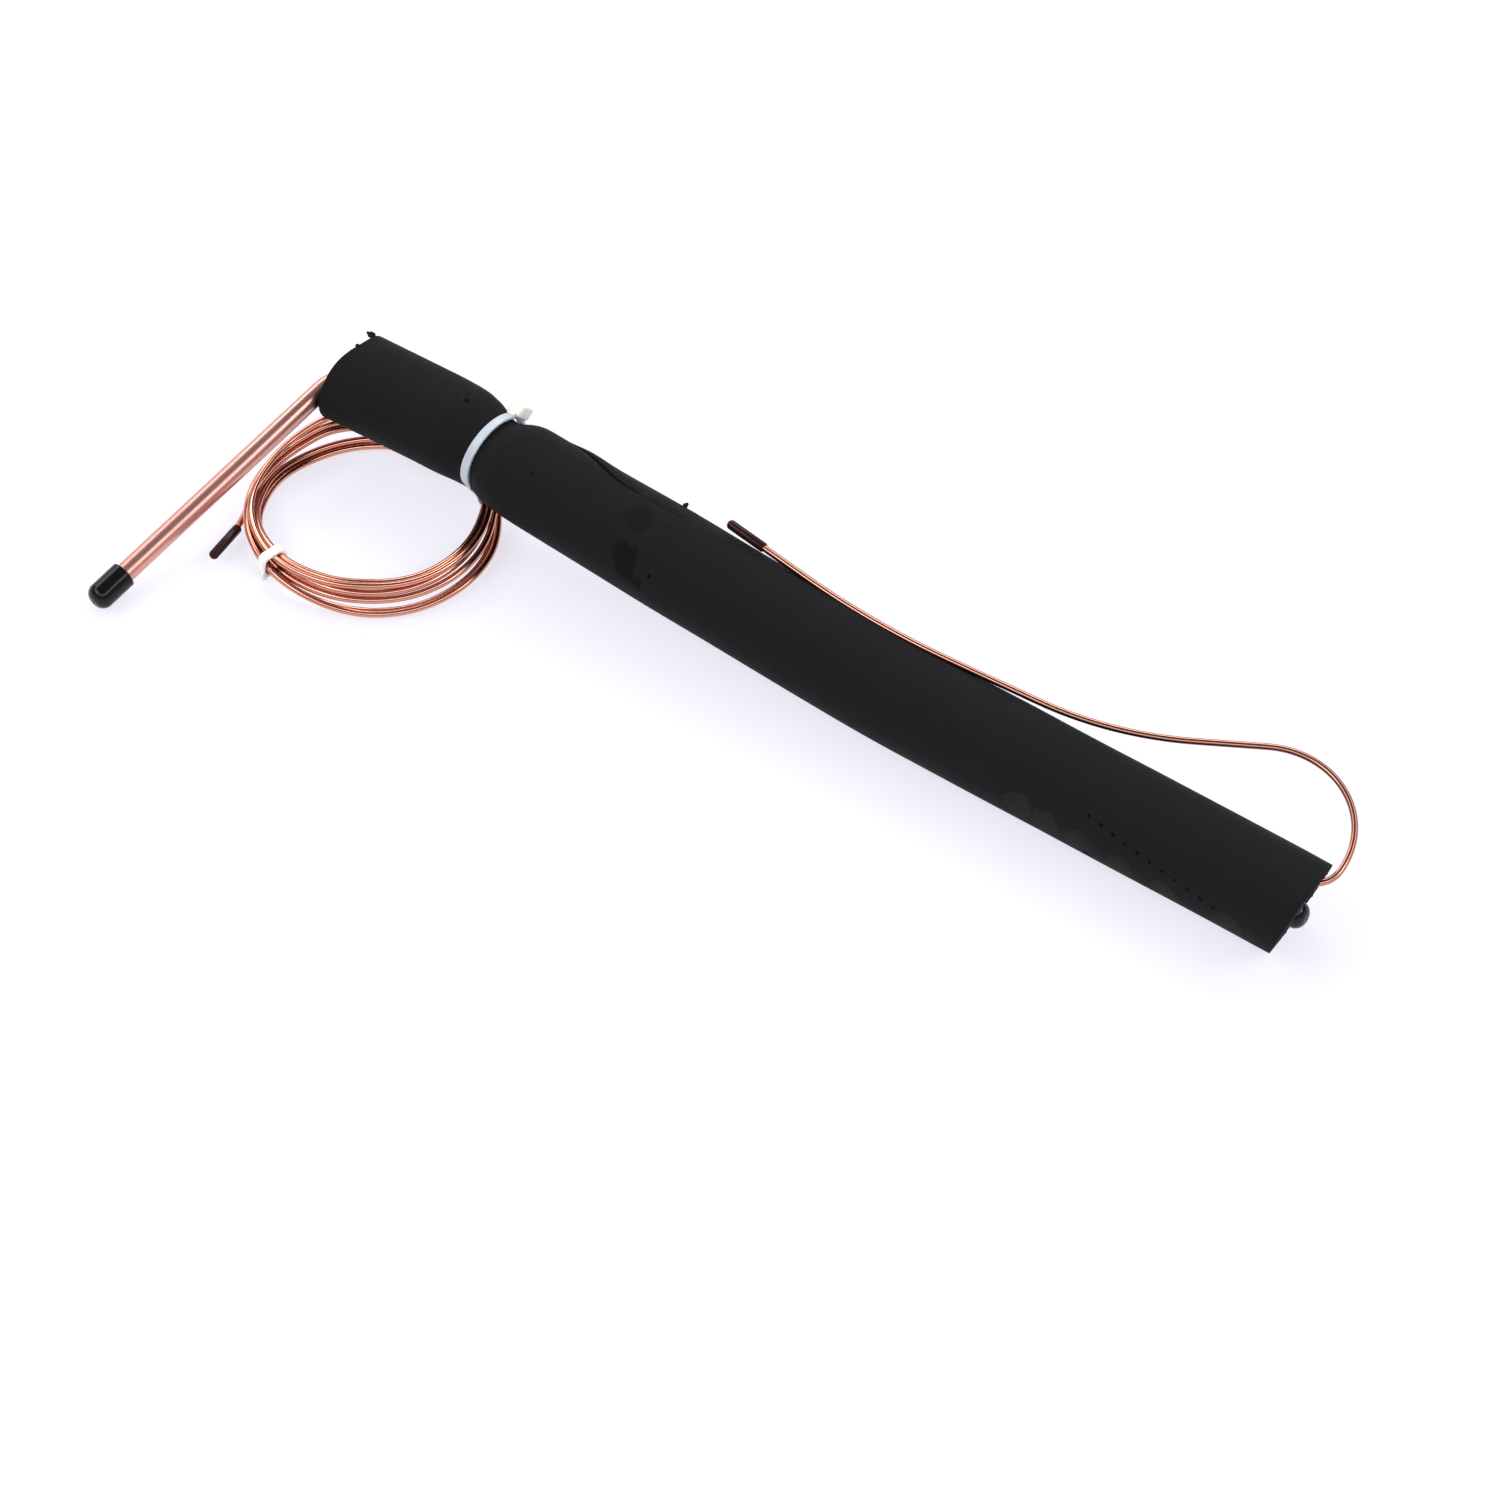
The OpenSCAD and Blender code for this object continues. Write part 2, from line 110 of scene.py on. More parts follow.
def turned(vector, axis, angle):
    """A vector turned about a unit axis: its part along the axis stays, and the rest swings by the angle."""
    swung = vector * math.cos(angle) + np.cross(axis, vector) * math.sin(angle)
    return swung + axis * np.dot(axis, vector) * (1 - math.cos(angle))


def bends(place, up, side, along, steps, spacing=0.5):
    """Points of a bent tube: each step runs straight, then swings about a centre that lies a radius away,
    in the direction that is turned from up towards side. Angles are in degrees."""
    points = [place[None]]
    for straight, angle, radius, direction in steps:
        count = max(2, round(straight / spacing))
        points.append(place + along * np.linspace(0, straight, count)[1:, None])
        place = place + along * straight
        if angle:
            angle, direction = math.radians(angle), math.radians(direction)
            inward = up * math.cos(direction) + side * math.sin(direction)
            swing = np.linspace(0, angle, max(4, round(angle * radius / spacing)))[1:, None]
            points.append(place + inward * radius * (1 - np.cos(swing)) + along * radius * np.sin(swing))
            place = points[-1][-1]
            axis = np.cross(along, inward)
            up, side, along = (turned(vector, axis, angle) for vector in (up, side, along))
    return np.concatenate(points), along


def unit(vectors):
    """Vectors brought to a length of one."""
    return vectors / np.linalg.norm(vectors, axis=-1, keepdims=True)


def evened(path, spacing, window):
    """A path with points a set spacing apart, each the mean of its neighbours over a window of length."""
    ends = path[[0, -1]]
    lengths = np.concatenate([[0], np.cumsum(np.linalg.norm(np.diff(path, axis=0), axis=1))])
    even = np.linspace(0, lengths[-1], round(lengths[-1] / spacing))
    path = np.stack([np.interp(even, lengths, path[:, i]) for i in range(3)], -1)
    half = max(1, round(window / spacing / 2))
    padded = np.concatenate([2 * ends[0] - path[half:0:-1], path, 2 * ends[1] - path[-2:-half - 2:-1]])
    kernel = np.hanning(2 * half + 3)[1:-1]
    kernel = kernel / kernel.sum()
    return np.stack([np.convolve(padded[:, i], kernel, "valid") for i in range(3)], -1)


def bell(value, middle, width):
    """One at the middle and falling off to both sides, as exp(-((value - middle) / width)^2)."""
    return np.exp(-((value - middle) / width) ** 2)


def swept(path, wide, high, sides):
    """An oval section carried along a path. At each point its width lies level and its height stands square
    to both the path and the level, so a point of the ring is path + level w cos t + rise h sin t."""
    along = unit(np.gradient(path, axis=0))
    level = unit(np.cross(along, [0, 0, 1]))
    rise = np.cross(level, along)
    turn = 2 * np.pi * np.arange(sides) / sides
    wide = np.broadcast_to(wide, len(path))[:, None, None]
    high = np.broadcast_to(high, len(path))[:, None, None]
    return (path[:, None] + level[:, None] * wide * np.cos(turn)[:, None]
            + rise[:, None] * high * np.sin(turn)[:, None])


def make_piece(name, *grids, crease=35):
    """A piece from grids of rings of points: quads join each point to the next on its ring and to the next
    ring. Its UV map holds the length along the rows and round the rings, in millimetres."""
    points, quads, places, first = [], [], [], 0
    for grid in grids:
        rows, around = grid.shape[:2]
        index = first + np.arange(rows * around).reshape(rows, around)
        beside = np.roll(index, -1, axis=1)
        quads.append(np.stack([index[:-1], beside[:-1], beside[1:], index[1:]], -1).reshape(-1, 4))
        points.append(grid.reshape(-1, 3) * MM)
        centres = grid.mean(axis=1)
        along = np.concatenate([[0], np.cumsum(np.linalg.norm(np.diff(centres, axis=0), axis=1))])
        girth = np.linalg.norm(np.diff(grid, axis=1, append=grid[:, :1]), axis=2).max(axis=0)
        place = np.concatenate([[0], np.cumsum(girth)])
        u = np.stack([along[:-1], along[:-1], along[1:], along[1:]], -1)[:, None].repeat(around, 1)
        v = np.stack([place[:-1], place[1:], place[1:], place[:-1]], -1)[None].repeat(rows - 1, 0)
        places.append(np.stack([u, v], -1).reshape(-1))
        first = first + rows * around
    mesh = bpy.data.meshes.new(name)
    mesh.from_pydata(np.concatenate(points).tolist(), [], np.concatenate(quads).tolist())
    mesh.uv_layers.new(name="skin").data.foreach_set("uv", np.concatenate(places))
    return make_object(name, mesh, crease)


def make_object(name, mesh, crease):
    """An object at the origin from a mesh whose meeting points are merged and whose faces point outwards."""
    shell = bmesh.new()
    shell.from_mesh(mesh)
    bmesh.ops.remove_doubles(shell, verts=shell.verts, dist=1e-7)
    bmesh.ops.recalc_face_normals(shell, faces=shell.faces)
    shell.to_mesh(mesh)
    shell.free()
    mesh.polygons.foreach_set("use_smooth", [True] * len(mesh.polygons))
    mesh.set_sharp_from_angle(angle=math.radians(crease))
    piece = bpy.data.objects.new(name, mesh)
    bpy.context.scene.collection.objects.link(piece)
    return piece


def put(tree, kind, inputs=(), **settings):
    """Adds a shader node. Each input is a number, a colour, or another node's output to link it to."""
    made = tree.nodes.new("ShaderNode" + kind)
    for key, value in settings.items():
        setattr(made, key, value)
    for key, value in dict(inputs).items():
        if isinstance(value, bpy.types.NodeSocket):
            tree.links.new(value, made.inputs[key])
        else:
            made.inputs[key].default_value = value
    return made


def new_finish(name):
    """A material with an empty principled surface: the material, its node tree and the surface's node."""
    finish = bpy.data.materials.new(name)
    finish.use_nodes = True
    return finish, finish.node_tree, finish.node_tree.nodes["Principled BSDF"]


def mixed(tree, share, first, second):
    """The output of a colour mix of two colours by a share."""
    mix = put(tree, "Mix", data_type="RGBA")
    for socket, value in ((mix.inputs[0], share), (mix.inputs[6], first), (mix.inputs[7], second)):
        if isinstance(value, bpy.types.NodeSocket):
            tree.links.new(value, socket)
        else:
            socket.default_value = value
    return mix.outputs[2]


def ramped(tree, value, low, high, start=0, end=1):
    """The output of a straight ramp that takes low..high of a value to start..end, held at its ends."""
    inputs = {0: value, 1: low, 2: high, 3: start, 4: end}
    return put(tree, "MapRange", inputs).outputs[0]


def drawn_copper(name, clean, tarnished, rough, shaded_stretch=0):
    """Drawn copper: faint streaks along the tube, from noise stretched along the UV map, change its gloss a
    little, and slow clouds of noise bring in the darker, redder tarnish. The first stretch fades to a darker
    brown, painted shade for the dim reflections there."""
    finish, tree, surface = new_finish(name)
    skin = put(tree, "UVMap", uv_map="skin")
    stretched = put(tree, "Mapping", {"Vector": skin.outputs[0], "Scale": (0.008, 0.9, 1)})
    streaks = put(tree, "TexNoise", {"Vector": stretched.outputs[0], "Scale": 1.0, "Detail": 4.0})
    spot = put(tree, "TexCoord")
    clouds = put(tree, "TexNoise", {"Vector": spot.outputs["Object"], "Scale": 38.0, "Detail": 3.0})
    tone = put(tree, "Math", {0: streaks.outputs[0], 1: clouds.outputs[0]}, operation="ADD")
    darkening = ramped(tree, tone.outputs[0], 0.8, 1.35)
    metal = mixed(tree, darkening, clean, tarnished)
    # Painted shade: the first stretch, the tail, fades to a darker brown in place of its dim reflections.
    if shaded_stretch:
        shade_brown = (0.4, 0.19, 0.14, 1)
        fading = 40
        length = put(tree, "SeparateXYZ", {0: skin.outputs[0]}).outputs[0]
        metal = mixed(tree, ramped(tree, length, shaded_stretch - fading, shaded_stretch, 0.85, 0), metal, shade_brown)
    tree.links.new(metal, surface.inputs["Base Color"])
    gloss = ramped(tree, tone.outputs[0], 0.7, 1.3, rough[0], rough[1])
    tree.links.new(gloss, surface.inputs["Roughness"])
    surface.inputs["Metallic"].default_value = 1
    return finish


# Where the tube lies in the bore, as its height and its distance to the far side of the axis: low and to the
# near side as far as the bend of the climb, and from there on a slow rise to its place at the mouth.
tube_low = (-1.31, -1.31)
tube_high = (0.3, 0)
lane_stations = [0, 150.4, 258.2]
bore_stations = np.linspace(-outlet_past_plain, path_length - elbow_inset, 160)
tube_lane = bore_line(
    bore_stations,
    np.interp(bore_stations, lane_stations, [tube_low[0], tube_low[0], tube_high[0]]),
    np.interp(bore_stations, lane_stations, [tube_low[1], tube_low[1], tube_high[1]]),
)
mouth_along, mouth_up, mouth_far = bore_frame(path_length - elbow_inset)[1:]
arm, arm_along = bends(
    tube_lane[-1], mouth_up, mouth_far, mouth_along,
    [(mouth_straight, elbow_angle, elbow_radius, -90 - arm_droop), (arm_length - mouth_straight, 0, 1, 0)],
)
tube_path = evened(np.concatenate([tube_lane, arm[1:]]), spacing=1.0, window=3)

# The bend has flattened the tube a little, so that round the elbow it is narrower and taller.
near_elbow = tube_path[:, 0] < arm[1, 0] + elbow_zone
past_elbow = np.where(near_elbow, np.linalg.norm(tube_path - arm[1], axis=1), 4 * flattened_length)
flat = flattening * bell(past_elbow, flattest_at, flattened_length)
tube_outer = tube_od / 2
tube_inner = tube_outer - tube_wall
outside = swept(tube_path, tube_outer * (1 - flat), tube_outer * (1 + flat), tube_sides)
inside = swept(tube_path, tube_inner * (1 - flat), tube_inner * (1 + flat), tube_sides)
suction_tube = make_piece("suction_tube_dressed", np.concatenate([outside, inside[::-1], outside[:1]]))
suction_tube.data.materials.append(
    drawn_copper("satin_copper", (0.74, 0.39, 0.33, 1), (0.66, 0.31, 0.25, 1), (0.28, 0.36))
)
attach(suction_tube, "root")
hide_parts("suction_tube")


# Capillary
# One length of 2 mm copper capillary. From its free end it is wound into six turns that fan out between the
# two ties, leaves the coil for the sleeve's mouth, runs through the bore and comes back in a loop outside.
capillary_od = 2
capillary_sides = 20
turns = 6
coil_x, coil_y = -130.38, 2.59
winding_start = 149
winding_end = 215 + 360 * turns
capillary_inset = 4
lead_inset = 1
lead_pull = 7
coil_pull = 9
free_end = np.array([-158.1, -34.44, 4.3])
free_along = np.array([0.0855, -0.9963, 0])
stub_length = 11

# Where the six turns lie in the bundle: at each angle round the coil, the radius and the height of each turn
# in the order of winding, from the lead to the free end.
bundle = {
    185: [(34.5, 9.1), (33.9, 3.7), (32.2, 2.6), (34.3, 1.7), (35.6, 7.3), (34.4, 5.7)],
    199: [(34.4, 8.9), (32.7, 4.9), (31.9, 3.0), (34.0, 2.2), (35.6, 7.2), (34.8, 5.3)],
    213: [(34.3, 8.7), (32.7, 6.1), (32.0, 4.0), (33.9, 2.7), (35.4, 6.9), (34.9, 5.0)],
    242: [(33.0, 8.3), (31.0, 8.0), (31.3, 6.0), (32.2, 4.1), (34.9, 6.4), (34.4, 4.2)],
    274: [(31.7, 9.5), (29.7, 9.1), (31.2, 7.3), (32.1, 5.3), (34.1, 4.0), (32.8, 2.4)],
    306: [(31.9, 10.7), (30.0, 10.2), (32.8, 8.5), (33.5, 6.4), (34.6, 1.7), (32.7, 1.0)],
    330: [(32.9, 10.4), (31.0, 9.9), (33.2, 8.2), (34.5, 6.5), (36.2, 2.4), (34.4, 1.6)],
    360: [(33.4, 10.1), (31.4, 9.6), (32.9, 7.8), (35.2, 6.9), (37.3, 3.4), (35.5, 2.3)],
    378: [(33.9, 9.9), (31.9, 9.4), (33.0, 7.5), (35.4, 6.9), (37.6, 3.9), (35.9, 2.7)],
    394: [(34.5, 9.7), (32.5, 9.2), (33.3, 7.3), (35.5, 6.6), (37.0, 4.7), (35.4, 3.3)],
    410: [(35.4, 9.3), (34.3, 7.4), (35.1, 5.5), (37.0, 8.1), (37.3, 6.1), (36.8, 4.2)],
    435: [(33.7, 8.5), (31.8, 7.2), (33.2, 5.4), (35.6, 7.3), (35.4, 5.0), (36.2, 3.1)],
    465: [(32.7, 4.8), (31.4, 3.2), (33.8, 2.0), (35.5, 7.4), (34.9, 5.3), (36.6, 4.2)],
    490: [(33.0, 3.8), (31.7, 2.2), (33.9, 1.5), (35.6, 9.0), (34.6, 7.2), (36.6, 7.1)],
    508: [(33.2, 3.3), (31.9, 1.7), (34.0, 1.3), (36.0, 9.6), (34.8, 7.9), (36.9, 7.8)],
    520: [(33.3, 3.1), (32.0, 1.4), (34.1, 1.2), (35.6, 8.2), (34.4, 6.6), (36.6, 6.4)],
}

# The lead's way down into the first turn, and the free end's way out of the last one, given in the same way.
lead_in = {148: (36.0, 12.3), 162: (35.6, 10.2)}
lead_out = {545: (36.1, 3.6), 560: (36.0, 2.7), 570: (35.9, 2.9), 579.7: (37.9, 4.2)}


def coil_line(start, end):
    """Points of the winding between two angles, counted on from turn to turn. Radius and height run straight
    from one place in the bundle to the next and are then averaged over a few degrees to each side."""
    places = {angle + 360 * turn: bundle[angle][turn] for turn in range(turns) for angle in bundle}
    places.update(lead_in)
    places.update({angle + 360 * (turns - 1): place for angle, place in lead_out.items()})
    angles = sorted(places)
    values = np.array([places[angle] for angle in angles])
    half = 12
    window = np.hanning(2 * half + 3)[1:-1]
    window = window / window.sum()
    wide = np.arange(start - half, end + half + 1, 1.0)
    radius, height = (np.convolve(np.interp(wide, angles, values[:, i]), window, "valid") for i in (0, 1))
    swing = np.radians(wide[half:-half])
    return np.stack([coil_x + radius * np.cos(swing), coil_y + radius * np.sin(swing), height], -1)


def curve(start, start_pull, end_pull, end, count=24):
    """A cubic curve between two points that leaves and reaches them along their pulls."""
    t = np.linspace(0, 1, count)[:, None]
    first, second = start + start_pull, end - end_pull
    ends = (1 - t) ** 3 * start + t ** 3 * end
    return ends + 3 * (1 - t) * t * ((1 - t) * first + t * second)


# Where the capillary lies in the bore: at distances from the plain end, its height and its distance to the
# far side of the axis. It leaves the bore high at the plain end, and at the tie it drops under the tube.
inside_stations = np.linspace(capillary_inset, path_length - lead_inset, 160)
inside_knots = [capillary_inset, 16, 42, 122.4, 273.8, tie_at, 288.2]
inside_places = np.array([
    (4.6, 5.4), (2.4, 2.4), (2.4, 2.4), (0, 4.4), (0, 4.4), (-3.2, 3.65), (-4.75, 0.85),
])
inside_run = bore_line(
    inside_stations,
    np.interp(inside_stations, inside_knots, inside_places[:, 0]),
    np.interp(inside_stations, inside_knots, inside_places[:, 1]),
)

# The tail's bends from the plain end: a tight one out of the bore, a wide one back to the far side, and two
# slow ones along the sleeve. Each step is a straight length, then an angle, a radius and a direction.
tail_steps = [
    (0.5, 96, 7.4, -79),
    (2, 112.5, 26, -75.5),
    (20, 24, 110, 107),
    (28.5, 10.5, 274, 100),
    (27.5, 0, 1, 0),
]
tail, tail_along = bends(
    inside_run[0], np.array([0, 0, 1.0]), np.array([0, -1.0, 0]), np.array([1.0, 0, 0]), tail_steps
)
winding = coil_line(winding_start, winding_end)
lead = curve(inside_run[-1], mouth_along * lead_pull, coil_pull * unit(winding[1] - winding[0]), winding[0])
stub = free_end + free_along * np.linspace(-stub_length, 0, 14)[:, None]
capillary_path = evened(
    np.concatenate([tail[::-1], inside_run[1:], lead[1:], winding[1:], stub]), spacing=0.8, window=6
)
capillary = make_piece("capillary_dressed", np.concatenate([
    np.repeat(capillary_path[:1, None], capillary_sides, 1),
    swept(capillary_path, capillary_od / 2, capillary_od / 2, capillary_sides),
    np.repeat(capillary_path[-1:, None], capillary_sides, 1),
]))
# The first 240 mm of the capillary, along the tail, are painted browner and darker as shade.
capillary.data.materials.append(
    drawn_copper("bright_copper", (0.72, 0.34, 0.25, 1), (0.58, 0.24, 0.16, 1), (0.12, 0.19), shaded_stretch=240)
)
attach(capillary, "root")
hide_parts("capillary_coil", "capillary_run")


# Foam sleeve
# Black closed-cell foam tube, slit along its back so that it can be pushed over the tubes, in two lengths
# that meet in a glued butt joint. The tie draws the short one in, and the ends are cut with a knife.
sleeve_od = 30
short_od = 28.4
waist_od = 21.4
waist_low = 14.8
waist_left = 7.5
waist_right = 5.5
waist_shift = 2.4
waist_lean = 1.6
rested_depth = 1.2
rested_length = 15
unevenness = 0.12
sleeve_bore = 12
joint_gap = 0.1
narrowing_before = 6
plain_rake = math.tan(math.radians(18.7))
plain_skew = math.tan(math.radians(4.5))
plain_rake_length = 50
coil_reach = 1.1
coil_rake = 2.2
coil_rake_length = 20
notch_angle = math.radians(8)
notch_width = 0.5
notch_depth = 1.5
cut_roughness = 0.14
seen_side = math.radians(54)
foam_round = 110

# The slit: its angle from the top to the far side, its gap, and how much more it gapes at the plain end. On
# the short piece it wanders from near the top to the far side, gapes on the way and has one lip lifted.
slit_angle = math.radians(50)
slit_gap = 0.35
slit_gape = 2.6
slit_gape_length = 6
short_slit_angles = (17, 60)
short_slit_turn = (234, 264)
short_gap = 0.06
short_gape = 0.7
short_gape_at = 248
short_gape_length = 9
lift = 0.7
lift_at = 246
lift_length = 16
lift_width = 5
lip_depth = 0.45
lip_round = 0.9


def smoothed_step(value, low, high):
    """Nought below low, one above high and a smooth rise between them, as 3t^2 - 2t^3."""
    t = np.clip((value - low) / (high - low), 0, 1)
    return t * t * (3 - 2 * t)


def ripple(distance, angle, seed):
    """A slow unevenness of the skin between about -1 and 1: a sum of a few waves along and round the tube
    with random phases."""
    chance = np.random.default_rng(seed)
    waves = zip(chance.uniform(0.02, 0.2, 9), chance.integers(0, 5, 9), chance.uniform(0, 6.28, 9))
    return sum(np.sin(distance * k + angle * n + phase) for k, n, phase in waves) / 4


def foam_skin(distance, angle):
    """The sleeve's outside radius: its half width, less the short piece's tighter hold and the tie's waist,
    which is round above and swells below where it lies on the coil, less the flat on which the sleeve rests
    past the tie, and less a slow unevenness."""
    waist = tie_at - waist_shift - waist_lean * np.cos(angle - seen_side)
    tight = bell(distance, waist, np.where(distance > waist, waist_left, waist_right))
    joint = long_length - joint_gap / 10
    narrow = smoothed_step(distance, joint - narrowing_before, tie_at) * (distance > joint)
    radius = sleeve_od / 2 - (sleeve_od - short_od) / 2 * narrow
    radius = radius + (waist_od / 2 - radius) * tight
    belly = (waist_low - waist_od / 2) * tight * np.clip(-np.cos(angle), 0, 1) ** 2
    past_tie = smoothed_step(distance, tie_at, tie_at + rested_length)
    rested = rested_depth * past_tie * np.clip(-np.cos(angle), 0, 1) ** 6
    uneven = unevenness * (1 - tight) * (1 - ripple(distance, angle, seed=5))
    return radius + belly - rested - uneven


def foam_length(stations, plain, rough_seed):
    """A slit tube as rings of points: round the outside from lip to lip of the slit, then back round the
    bore. Each end closes by drawing the ring in to the middle of the wall. The ends are cut at a slant: a
    point moves along the plain end by its height times the rake and its place to the far side times the
    skew, and along the coil end by how far it lies to the seen side, with a notch near the top."""
    rows = len(stations)
    share = np.linspace(0, 1, foam_round + 1)
    if plain:
        slit = np.full((rows, 1), slit_angle)
        gap = slit_gap + slit_gape * bell(stations, 0, slit_gape_length)[:, None]
        lifted = np.zeros((rows, 1))
    else:
        wander = smoothed_step(stations, *short_slit_turn)
        slit = np.radians(np.interp(wander, (0, 1), short_slit_angles))[:, None]
        gap = short_gap + short_gape * bell(stations, short_gape_at, short_gape_length)[:, None]
        lifted = lift * bell(stations, lift_at, lift_length)[:, None]
    lip = gap / 2 / (sleeve_od / 2)
    angle = slit + lip + (2 * np.pi - 2 * lip) * share
    from_lip = np.minimum(share, 1 - share) * np.pi * sleeve_od
    outer = foam_skin(stations[:, None], angle) - lip_depth * bell(from_lip, 0, lip_round)
    outer = outer + lifted * bell(share * np.pi * sleeve_od, 0, lift_width)
    inner = np.full_like(outer, sleeve_bore / 2)
    radius = np.concatenate([outer, inner[:, ::-1]], 1)
    angle = np.concatenate([angle, angle[:, ::-1]], 1)
    middle = (radius + radius[:, ::-1]) / 2
    closing = np.array([1, 0.75, 0.45, 0.2, 0.07, 0.02])
    bulge = np.array([0, 0, 0, 0.03, 0.15, 0.4])
    steps = len(closing)
    close = np.concatenate([closing, np.zeros(rows), closing[::-1]])[:, None]
    pick = np.concatenate([np.zeros(steps, int), np.arange(rows), np.full(steps, rows - 1)])
    shift = np.concatenate([bulge, np.zeros(rows), -bulge[::-1]])
    radius = radius[pick] + (middle[pick] - radius[pick]) * close
    angle = angle[pick]
    height, far = radius * np.cos(angle), radius * np.sin(angle)
    chance = np.random.default_rng(rough_seed)
    rough = chance.normal(0, cut_roughness, radius.shape) * (close > 0.1) * (close < 0.9)
    distance = (stations[pick] + shift)[:, None] + rough
    if plain:
        fade = np.clip(1 - stations[pick] / plain_rake_length, 0, 1)[:, None]
        distance = distance + fade * (far * plain_skew - height * plain_rake)
    else:
        fade = np.clip((stations[pick] - path_length + coil_rake_length) / coil_rake_length, 0, 1)[:, None]
        lean = radius * np.cos(angle - seen_side) / (short_od / 2)
        from_notch = np.angle(np.exp(1j * (angle - notch_angle)))
        trimmed = notch_depth * bell(from_notch, 0, notch_width) * radius / (short_od / 2)
        distance = distance + fade * (coil_reach - coil_rake * lean - trimmed)
    return bore_line(distance, height, far)


def spotted(tree, spots):
    """The share of a surface inside ragged round spots of [place, radius, strength]: each falls from its
    strength to nought where the distance, roughened by noise, passes the radius. The greatest counts."""
    place = put(tree, "TexCoord").outputs["Object"]
    rag = put(tree, "TexNoise", {"Vector": place, "Scale": 420.0, "Detail": 5.0}).outputs[0]
    total = 0
    for centre, radius, strength in spots:
        away = put(tree, "VectorMath", {0: place, 1: [c * MM for c in centre]}, operation="DISTANCE")
        reach = {0: rag, 1: radius * MM, 2: away.outputs["Value"]}
        edge = put(tree, "Math", reach, operation="MULTIPLY_ADD").outputs[0]
        share = ramped(tree, edge, 1.35 * radius * MM, 1.6 * radius * MM, strength, 0)
        total = put(tree, "Math", {0: total, 1: share}, operation="MAXIMUM").outputs[0]
    return total


def slit_foam(name, stains_and_shaded_holes, scuffed):
    """Foam skin: near-black and dull, with clouds of wear and a fine grain. Glue stains are darker spots, and
    pin holes are darker spots too, painted shade in the holes. Scuffs are brownish spots where the skin is
    torn."""
    finish, tree, surface = new_finish(name)
    spot = put(tree, "TexCoord")
    clouds = put(tree, "TexNoise", {"Vector": spot.outputs["Object"], "Scale": 90.0, "Detail": 6.0})
    grain = put(tree, "TexNoise", {"Vector": spot.outputs["Object"], "Scale": 2600.0, "Detail": 3.0})
    shade = ramped(tree, clouds.outputs[0], 0.3, 0.7)
    worn = mixed(tree, shade, (0.0072, 0.0075, 0.0083, 1), (0.0102, 0.0105, 0.0116, 1))
    torn = put(tree, "Math", {0: spotted(tree, scuffed), 1: grain.outputs[0]}, operation="MULTIPLY")
    worn = mixed(tree, torn.outputs[0], worn, (0.026, 0.022, 0.015, 1))
    # Darker spots: glue stains, and painted shade in the pin holes.
    darkening = spotted(tree, stains_and_shaded_holes)
    tree.links.new(mixed(tree, darkening, worn, (0.0028, 0.0028, 0.003, 1)), surface.inputs["Base Color"])
    tree.links.new(ramped(tree, clouds.outputs[0], 0.3, 0.7, 0.66, 0.8), surface.inputs["Roughness"])
    tree.links.new(ramped(tree, darkening, 0, 1, 0.1, 0.04), surface.inputs["Specular IOR Level"])
    height = put(tree, "Math", {0: grain.outputs[0], 1: clouds.outputs[0]}, operation="ADD")
    height = put(tree, "Math", {0: darkening, 1: -0.8, 2: height.outputs[0]}, operation="MULTIPLY_ADD")
    height = put(tree, "Math", {0: torn.outputs[0], 1: 1.5, 2: height.outputs[0]}, operation="MULTIPLY_ADD")
    relief = put(tree, "Bump", {"Height": height.outputs[0], "Strength": 0.5, "Distance": 0.00025})
    tree.links.new(relief.outputs[0], surface.inputs["Normal"])
    return finish


def on_skin(distance, angle, above=0):
    """Points on the sleeve's skin at distances from the plain end and angles from the top to the far side."""
    distance, angle = np.asarray(distance, float), np.radians(angle)
    radius = foam_skin(distance, angle) + above
    return bore_line(distance, radius * np.cos(angle), radius * np.sin(angle))


def crumb(centre, size, seed):
    """A torn crumb of foam: a ball whose points are pushed in and out by a few random waves."""
    chance = np.random.default_rng(seed)
    rise, turn = np.linspace(-np.pi / 2, np.pi / 2, 14)[:, None], 2 * np.pi * np.arange(20)[None] / 20
    ball = np.stack([np.cos(rise) * np.cos(turn), np.cos(rise) * np.sin(turn), np.sin(rise) + 0 * turn], -1)
    waves = chance.normal(0, 2.5, (5, 3))
    bumps = sum(np.sin(ball @ wave + phase) for wave, phase in zip(waves, chance.uniform(0, 6, 5)))
    return centre + ball * (1 + 0.12 * bumps)[..., None] * np.array(size) / 2


# Pin holes in the long piece's skin, drawn as darker spots of painted shade.
pin_holes = on_skin(np.linspace(62.2, 19.2, 11), np.linspace(304, 275, 11))
long_foam = slit_foam(
    "long_foam",
    [(hole, 0.6, 1) for hole in pin_holes] + [(on_skin(212.4, 294.6), 0.7, 1), (on_skin(61.4, 250), 1.4, 1)],
    [(on_skin(s, a), 4.6, 1) for s, a in ((84, 272), (75, 266), (64, 262), (50, 258), (36, 254), (14, 258))],
)
short_foam = slit_foam(
    "short_foam",
    [(on_skin(221.8, 300), 4.2, 0.55), (on_skin(220.6, 287), 3.8, 0.55), (on_skin(223.8, 346), 4.2, 0.3),
     (on_skin(215.6, 277), 2.0, 0.5), (on_skin(258.6, 327.5), 0.5, 1), (on_skin(288.3, 2.9), 0.8, 0.8)],
    [(on_skin(228, 18), 1.6, 1), (on_skin(290.4, 4), 0.7, 1)],
)
long_stations = np.linspace(0, long_length - joint_gap / 2, 220)
short_stations = np.linspace(long_length + joint_gap / 2, path_length, 200)
sleeve_long = make_piece("sleeve_long_dressed", foam_length(long_stations, True, 11), crease=50)
